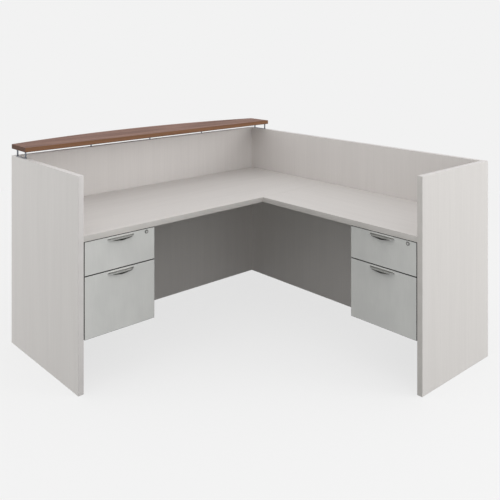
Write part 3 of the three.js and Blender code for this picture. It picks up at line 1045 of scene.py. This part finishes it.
@dataclass(frozen=True)
class LipPull:
    """A cast pull: an upstand on the front, a falling plate, and a lip that hangs in a shallow V.

    Its own frame has the drawer front's face on Y = 0, where the plate's top starts from Z = 0.
    """

    length: float = 150.0
    nose: float = 108.0
    nose_corner: float = 8.0
    nose_segments: int = 6
    reach: float = 20.5
    upstand: float = 4.5
    drop: float = 12.0
    least_drop: float = 0.05
    apex: float = 9.0
    fall: float = 1.5
    undercut: float = 4.0
    wall: float = 2.6
    seat_gap: float = 0.3
    arris: float = 0.45
    stations: int = 24

    @property
    def lip_line(self) -> float:
        """Where the lip's inner face starts, along Y."""
        return self.wall - self.reach

    @property
    def back_line(self) -> float:
        """Where the back wall's inner face starts, along Y."""
        return -self.seat_gap - self.wall

    def hang(self, along: float) -> float:
        """Give the depth of the lip's lower edge, a V with a rounded apex, at a place along it.

        Args:
            along: the distance from the middle of the pull.

        Returns:
            The depth under the plate's top.
        """
        slope = (self.drop - self.wall) / (self.nose / 2)
        away = abs(along)
        if away < self.apex:
            away = (away * away + self.apex * self.apex) / (2 * self.apex)
        return self.drop - slope * away

    def hangs(self, face: BMFace) -> bool:
        """Say whether a face under the plate is let down as the lip or the back wall."""
        x, y, _ = face.calc_center_median()
        return abs(x) < self.nose / 2 and not self.lip_line <= y <= self.back_line

    def plan(self, mesh: BMesh) -> None:
        """Draw the plate's plan and part it where the lip and the upstand start.

        Args:
            mesh: the mesh that takes the plan.
        """
        tail, tip = self.length / 2, self.nose / 2
        outline = [(-tail, -self.seat_gap), (-tip, -self.reach), (tip, -self.reach)]
        outline.append((tail, -self.seat_gap))
        verts = [mesh.verts.new((x, y, 0)) for x, y in outline]
        bmesh.ops.contextual_create(mesh, geom=verts)
        round_over(mesh, verts[1:3], self.nose_corner, self.nose_segments)
        for line in (self.lip_line, self.back_line):
            split(mesh, mesh.faces, Axis.Y, line)
        for station in range(self.stations + 1):
            split(mesh, mesh.faces, Axis.X, self.nose * station / self.stations - tip)

    def build(self) -> BMesh:
        """Model the pull.

        Returns:
            The pull's mesh, in its own frame.
        """
        mesh = bmesh.new()
        self.plan(mesh)
        top = list(mesh.faces)
        made = bmesh.ops.extrude_face_region(mesh, geom=top)
        bmesh.ops.translate(mesh, vec=(0, 0, -self.wall), verts=moved(made, BMVert))
        hanging = [face for face in moved(made, BMFace) if self.hangs(face)]
        made = bmesh.ops.extrude_face_region(mesh, geom=hanging)
        for vert in moved(made, BMVert):
            depth = self.hang(vert.co.x)
            if vert.co.y < (self.lip_line + self.back_line) / 2:
                vert.co.y += self.undercut * (depth - self.wall) / (self.drop - self.wall)
            vert.co.z = -max(depth, self.wall + self.least_drop)
        rising = [face for face in top if face.calc_center_median().y > self.back_line]
        made = bmesh.ops.extrude_face_region(mesh, geom=rising)
        bmesh.ops.translate(mesh, vec=(0, 0, self.upstand), verts=moved(made, BMVert))
        spent = [face for face in [*rising, *hanging] if face.is_valid]
        bmesh.ops.delete(mesh, geom=spent, context="FACES")
        bmesh.ops.recalc_face_normals(mesh, faces=mesh.faces)
        round_over(mesh, sharp_edges(mesh), self.arris)
        bmesh.ops.dissolve_degenerate(mesh, dist=SLIVER, edges=mesh.edges)
        slope = Matrix.Identity(4)
        slope[2][1] = self.fall / self.reach
        bmesh.ops.transform(mesh, matrix=slope, verts=mesh.verts)
        return mesh


@dataclass(frozen=True)
class CamLock:
    """A cam lock: a dished flange and barrel, and a plug with a keyway and a cam tongue.

    Its own frame has the lock's axis along Y and the drawer front's face on Y = 0.
    """

    flange: float = 20.0
    flange_thickness: float = 2.0
    flange_rim: float = 1.6
    dish: float = 0.9
    dish_floor: float = 1.2
    arris: float = 0.3
    barrel: float = 16.0
    barrel_length: float = 30.0
    barrel_steps: int = 40
    plug: float = 10.0
    plug_sides: int = 32
    plug_recess: float = 0.3
    running_gap: float = 0.3
    cam_length: float = 41.1
    cam_width: float = 9.0
    cam_thickness: float = 3.0
    cam_corner: float = 2.5
    cam_segments: int = 4
    key_width: float = 1.8
    key_height: float = 6.4
    key_depth: float = 2.4

    @property
    def face(self) -> float:
        """Where the flange's outer face lies, along Y."""
        return -self.running_gap - self.flange_thickness

    def build_body(self) -> BMesh:
        """Turn the barrel with its dished flange.

        Returns:
            The body's mesh, in the lock's frame.
        """
        bore = self.plug / 2 + self.running_gap
        barrel, flange = self.barrel / 2, self.flange / 2
        seat, floor, end = -self.running_gap, self.face + self.dish, self.barrel_length
        profile = [(bore, end), (barrel, end), (barrel, seat), (flange, seat), (flange, self.face)]
        profile += [(flange - self.flange_rim, self.face), (bore + self.dish_floor, floor)]
        profile += [(bore, floor), (bore, end)]
        mesh = bmesh.new()
        turn(mesh, profile, Axis.Y, self.barrel_steps)
        round_over(mesh, sharp_edges(mesh), self.arris)
        return mesh

    def build_plug(self) -> BMesh:
        """Model the plug with its keyway, and the cam tongue hanging from its end.

        Returns:
            The plug's mesh, in the lock's frame.
        """
        front = self.face + self.plug_recess
        cam_front = self.barrel_length + self.running_gap
        cam_back = cam_front + self.cam_thickness
        mesh = bmesh.new()
        bmesh.ops.create_circle(
            mesh,
            cap_ends=True,
            segments=self.plug_sides,
            radius=self.plug / 2,
            matrix=Matrix.Translation((0, front, 0)) @ Matrix.Rotation(QUARTER_TURN, 4, "X"),
        )
        made = bmesh.ops.extrude_face_region(mesh, geom=list(mesh.faces))
        bmesh.ops.translate(mesh, vec=(0, cam_back - front, 0), verts=moved(made, BMVert))
        for axis, size in ((Axis.X, self.key_width), (Axis.Z, self.key_height)):
            for edge in (size / 2, -size / 2):
                split(mesh, faces_at(mesh, Axis.Y, front), axis, edge)
        near = faces_at(mesh, Axis.Y, front)
        keyway = min(near, key=lambda part: part.calc_center_median().xz.length)
        socket = bmesh.ops.extrude_discrete_faces(mesh, faces=[keyway])["faces"][0]
        bmesh.ops.translate(mesh, vec=(0, self.key_depth, 0), verts=socket.verts)
        half = self.cam_width / 2
        tongue = add_block(mesh, (-half, cam_front, -self.cam_length), (half, cam_back, half))
        round_over(mesh, edges_along(tongue, Axis.Y), self.cam_corner, self.cam_segments)
        return mesh


@dataclass(frozen=True)
class FileRails:
    """Two steel rails in a file drawer, which carry hanging files from side to side.

    Clips hold each rail to its side wall's top edge, at shares of the rail's length.
    """

    thickness: float = 2.5
    height: float = 18.0
    rise: float = 8.0
    seat_gap: float = 0.3
    end_gap: float = 1.5
    clip_length: float = 22.0
    clip_thickness: float = 1.2
    clip_reach: float = 9.0
    clip_gap: float = 0.1
    clip_shares: tuple[float, ...] = (0.12, 0.5, 0.88)
    arris: float = 0.35

    def build(self, inside: Span, run: Span, top: float) -> BMesh:
        """Model the rails inside a tray.

        Args:
            inside: where the tray's two side walls have their inner faces.
            run: where its front and back walls have theirs.
            top: the height of the side walls' top edges.

        Returns:
            The rails' mesh, in the pedestal's frame.
        """
        mesh = bmesh.new()
        start, stop = run[0] + self.end_gap, run[1] - self.end_gap
        high, half = top + self.rise, self.clip_length / 2
        clip_low = top + self.clip_gap
        clip_high = clip_low + self.clip_thickness
        for wall, inward in zip(inside, (1, -1)):
            near, edge = wall + inward * self.seat_gap, wall - inward * self.clip_reach
            far = near + inward * self.thickness
            add_block(mesh, (near, start, high - self.height), (far, stop, high))
            for share in self.clip_shares:
                middle = start + (stop - start) * share
                add_block(mesh, (edge, middle - half, clip_low), (near, middle + half, clip_high))
        round_over(mesh, sharp_edges(mesh), self.arris)
        return mesh


@dataclass
class Pedestal:
    """A hanging box-and-file pedestal with its drawers, pulls, slides and lock.

    Its own frame has X to the user's right, Y into the carcass and the fronts' face on Y = 0.
    Screws and bumpers stand at shares of its width, at set depths, and at set distances up from
    the foot and down from the top of what carries them.
    """

    side: Side
    carcass_thickness: float = 15.9
    front_thickness: float = 19.0
    fit_gap: float = 0.3
    slide_space: float = 12.7
    tray_wall: float = 12.7
    pull_from_top: float = 8.5
    bumper: float = 8.0
    bumper_gap: float = 2.0
    bumper_up: float = 26.0
    bumper_down: float = 46.0
    bumper_sides: int = 16
    tray_screw: Screw = Screw()
    tray_screw_shares: Span = (0.28, 0.72)
    tray_screw_up: float = 30.0
    tray_screw_down: float = 24.0
    hanging_screw: Screw = Screw(9.0)
    hanging_screw_shares: Span = (0.18, 0.82)
    hanging_screw_depths: Span = (110.0, 460.0)
    pull: LipPull = LipPull()
    lock: CamLock = CamLock()
    rails: FileRails = FileRails()

    @property
    def width(self) -> float:
        """The pedestal's width, which is its drawer fronts' own."""
        low, high = corners(f"{self.side.value}_box_drawer_front")
        return (high - low)[ACROSS[self.side].value]

    @property
    def tray_front(self) -> float:
        """Where a tray's front wall has its inner face, along Y."""
        return self.front_thickness + self.fit_gap + self.tray_wall

    @property
    def place(self) -> Matrix:
        """Where the pedestal's own frame lies on the desk.

        Returns:
            The matrix that takes the pedestal's millimetres to the desk's metres.
        """
        low, high = corners(f"{self.side.value}_box_drawer_front")
        if self.side is Side.LEFT:
            turned = Matrix.Rotation(QUARTER_TURN, 4, "Z")
            return WORLD @ Matrix.Translation((high.x, low.y, 0)) @ turned
        return WORLD @ Matrix.Translation((low.x, low.y, 0))

    def drawer(self, kind: DrawerKind) -> str:
        """Give a drawer's name, which is also its body's."""
        return f"{self.side.value}_{kind.value}_drawer"

    def dress(self) -> None:
        """Give the carcass, trays, fronts and slides their finishes."""
        prefix = self.side.value
        for board in ("left_side", "right_side", "back", "bottom", "top"):
            dress(f"{prefix}_pedestal_{board}", MELAMINE)
        for kind in DrawerKind:
            dress(f"{self.drawer(kind)}_front", FRONT_SKIN)
            dress(f"{self.drawer(kind)}_tray", DRAWER_BOARD[self.side])
        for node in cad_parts:
            if node.startswith(prefix) and "_slide_" in node:
                dress(node, ZINC)

    def build(self) -> None:
        """Model the pedestal's pulls, lock, rails, bands, bumpers and screws."""
        for kind in DrawerKind:
            self.build_pull(kind)
            self.build_front_bands(kind)
            self.build_tray_screws(kind)
        self.build_lock()
        self.build_rails()
        self.build_bumpers()
        self.build_hanging_screws()

    def build_pull(self, kind: DrawerKind) -> None:
        """Model one drawer's pull in place of its solid.

        Args:
            kind: which drawer.
        """
        name = self.drawer(kind)
        top = corners(f"{name}_front")[1].z
        height = top - self.pull_from_top - self.pull.upstand
        place = self.place @ Matrix.Translation((self.width / 2, 0, height))
        finish = PULL_NICKEL[self.side]
        make_piece(f"{name}_cast_pull", self.pull.build(), name, finish, place, f"{name}_pull")

    def build_front_bands(self, kind: DrawerKind) -> None:
        """Model the banding round one drawer front.

        Args:
            kind: which drawer.
        """
        node = f"{self.drawer(kind)}_front"
        low, high = corners(node)
        ends = (Face.FRONT, Face.BACK) if self.side is Side.LEFT else (Face.LEFT, Face.RIGHT)
        mesh = bmesh.new()
        for face in (Face.TOP, Face.UNDER):
            EdgeBand(node, face).build(mesh)
        for face in ends:
            band = EdgeBand(node, face)
            band.build(mesh, (Axis.Z, low.z + band.lap, high.z - band.lap))
        make_piece(f"{node}_band", mesh, self.drawer(kind), FRONT_BAND_AND_GAP_SHADE)

    def build_tray_screws(self, kind: DrawerKind) -> None:
        """Model the screws that hold one front to its tray, inside the tray.

        Args:
            kind: which drawer.
        """
        name = self.drawer(kind)
        low, high = corners(f"{name}_tray")
        heights = (low.z + self.tray_screw_up, high.z - self.tray_screw_down)
        mesh = bmesh.new()
        for share, height in product(self.tray_screw_shares, heights):
            self.tray_screw.build(mesh, (self.width * share, self.tray_front, height), Face.BACK)
        make_piece(f"{name}_front_screws", mesh, name, ZINC, self.place)

    def build_lock(self) -> None:
        """Model the lock in place of its two solids."""
        prefix = self.side.value
        body, plug = f"{prefix}_lock_body", f"{prefix}_lock_plug"
        low, high = corners(body)
        spot = self.place.inverted() @ (WORLD @ ((low + high) / 2))
        spot.y = 0
        place = self.place @ Matrix.Translation(spot)
        dished, keyed = self.lock.build_body(), self.lock.build_plug()
        drawer = self.drawer(DrawerKind.BOX)
        make_piece(f"{body}_dished", dished, drawer, LOCK_NICKEL, place, body)
        make_piece(f"{plug}_keyed", keyed, f"{prefix}_lock", PLUG_NICKEL, place, plug)

    def build_rails(self) -> None:
        """Model the hanging-file rails in the file drawer."""
        name = self.drawer(DrawerKind.FILE)
        low, high = corners(f"{name}_tray")
        wall = self.carcass_thickness + self.slide_space + self.tray_wall
        length = (high - low)[INTO[self.side].value]
        back = self.tray_front + length - 2 * self.tray_wall
        mesh = self.rails.build((wall, self.width - wall), (self.tray_front, back), high.z)
        make_piece(f"{name}_file_rails", mesh, name, ZINC, self.place)

    def build_bumpers(self) -> None:
        """Model the rubber bumpers on the carcass edges, where the fronts close."""
        edge, inset = self.front_thickness + self.bumper_gap, self.carcass_thickness / 2
        mesh = bmesh.new()
        for kind in DrawerKind:
            low, high = corners(f"{self.drawer(kind)}_front")
            heights = (low.z + self.bumper_up, high.z - self.bumper_down)
            for across, height in product((inset, self.width - inset), heights):
                self.add_bumper(mesh, (across, edge, height))
        make_piece(f"{self.side.value}_pedestal_bumpers", mesh, "desk", RUBBER, self.place)

    def add_bumper(self, mesh: BMesh, seat: Point) -> None:
        """Add one domed bumper, which faces the drawer front.

        Args:
            mesh: the mesh that takes the bumper.
            seat: where it is stuck to the carcass.
        """
        flattened = (self.bumper_gap - self.fit_gap) / (self.bumper / 2)
        dome = Matrix.Diagonal((1.0, flattened, 1.0, 1.0)) @ Matrix.Rotation(QUARTER_TURN, 4, "X")
        made = bmesh.ops.create_uvsphere(
            mesh,
            u_segments=self.bumper_sides,
            v_segments=self.bumper_sides // 2,
            radius=self.bumper / 2,
            matrix=Matrix.Translation(seat) @ dome,
        )
        faces = dict.fromkeys(face for vert in made["verts"] for face in vert.link_faces)
        rim = split(mesh, faces, Axis.Y, seat[1], clear=True)
        bmesh.ops.edgeloop_fill(mesh, edges=rim)

    def build_hanging_screws(self) -> None:
        """Model the screws up through the pedestal's top into the worksurface."""
        name = f"{self.side.value}_pedestal"
        under = corners(f"{name}_top")[0].z
        mesh = bmesh.new()
        for share, depth in product(self.hanging_screw_shares, self.hanging_screw_depths):
            self.hanging_screw.build(mesh, (self.width * share, depth, under), Face.UNDER)
        make_piece(f"{name}_screws", mesh, "desk", ZINC, self.place)


@dataclass(frozen=True)
class PhotoCamera:
    """The photograph's viewpoint, with upright edges kept upright.

    The camera's back stays upright while its axis drops, as on a view camera, so the camera's
    frame is sheared: its axes are the level right, the plumb line and the dropped axis.
    """

    place: Point = (2.79724, -2.44259, 1.69039)
    forward: Point = (-0.7407, 0.6718, 0.0)
    focal_px: float = 676.9
    horizon_row: float = 37.36
    frame_px: float = 500.0
    sensor_mm: float = 36.0

    def build(self) -> None:
        """Set the camera up and make it the scene's camera."""
        drop = self.frame_px / 2 - self.horizon_row
        ahead, plumb = Vector(self.forward).normalized(), Axis.Z.unit
        right = ahead.cross(plumb)
        axis = ahead * self.focal_px - plumb * drop
        sheared = Matrix((right, plumb, -axis.normalized())).transposed().to_4x4()
        lens = bpy.data.cameras.new("photo_camera")
        lens.sensor_width = self.sensor_mm
        lens.lens = axis.length / self.frame_px * self.sensor_mm
        camera = add_object("photo_camera", lens)
        camera.parent = add_object("camera_stand", None)
        camera.matrix_parent_inverse = Matrix.Translation(self.place) @ sheared
        bpy.context.scene.camera = camera


@dataclass(frozen=True)
class SoftLamp:
    """A large soft white lamp that is aimed at a point of the desk."""

    name: str
    place: Point
    aim: Point
    size: float
    watts: float

    def build(self) -> None:
        """Hang the lamp."""
        light = bpy.data.lights.new(self.name, "AREA")
        light.shape = "DISK"
        light.size = self.size
        light.energy = self.watts
        lamp = add_object(self.name, light)
        lamp.location = self.place
        way = Vector(self.aim) - Vector(self.place)
        lamp.rotation_euler = way.to_track_quat("-Z", "Y").to_euler()


@dataclass
class Studio:
    """A pale seamless studio: floor, sky, lamps and camera."""

    floor_radius: float = 14.0
    floor_sides: int = 96
    sky: str = "#ffffff"
    sky_strength: float = 0.86
    camera: PhotoCamera = PhotoCamera()
    lamps: tuple[SoftLamp, ...] = (
        SoftLamp("end_lamp", (4.6, 2.9, 1.8), (1.0, 0.6, 0.5), 2.4, 86.0),
        SoftLamp("room_lamp", (4.5, -1.3, 2.3), (-0.4, -0.2, 0.8), 2.6, 10.5),
        SoftLamp("top_lamp", (0.2, -0.2, 4.8), (0.0, 0.0, 0.6), 3.5, 11.0),
        SoftLamp("side_lamp", (-3.0, -4.0, 0.6), (-0.5, -0.9, 0.4), 1.8, 39.0),
        SoftLamp("near_lamp", (2.2, -2.4, 0.9), (-0.1, -0.7, 0.5), 1.2, 3.0),
    )

    def build(self) -> None:
        """Lay the floor, light the sky, hang the lamps and set the camera."""
        bpy.context.scene.view_settings.view_transform = "Standard"
        self.build_sky()
        self.build_floor()
        for lamp in self.lamps:
            lamp.build()
        self.camera.build()

    def build_sky(self) -> None:
        """Light the studio from all round, with the pale backdrop behind the desk."""
        world = bpy.data.worlds.new("studio_sky")
        bpy.context.scene.world = world
        nodes = Nodes(world)
        light = {"Color": linear(self.sky), "Strength": self.sky_strength}
        glow = nodes.add("ShaderNodeBackground", light).outputs[0]
        shown = nodes.add("ShaderNodeBackground", {"Color": linear(PAPER.backdrop)}).outputs[0]
        both = nodes.add("ShaderNodeMixShader", {0: nodes.seen(), 1: glow, 2: shown})
        nodes.add("ShaderNodeOutputWorld", {"Surface": both.outputs[0]})

    def build_floor(self) -> None:
        """Lay a round floor that keeps the desk's shadow and fades into the backdrop."""
        mesh = bmesh.new()
        sides, radius = self.floor_sides, self.floor_radius
        bmesh.ops.create_circle(mesh, cap_ends=True, segments=sides, radius=radius)
        data = bpy.data.meshes.new("studio_floor")
        mesh.to_mesh(data)
        mesh.free()
        data.materials.append(PAPER.material())
        floor = add_object("studio_floor", data)


def main() -> None:
    """Set the studio up, then dress and detail each part of the desk in turn."""
    logging.basicConfig(level=logging.INFO, format="%(name)s %(message)s")
    Studio().build()
    for part in (Shell(), Counter(), Pedestal(Side.LEFT), Pedestal(Side.RIGHT)):
        part.dress()
        part.build()


if __name__ == "__main__":
    main()
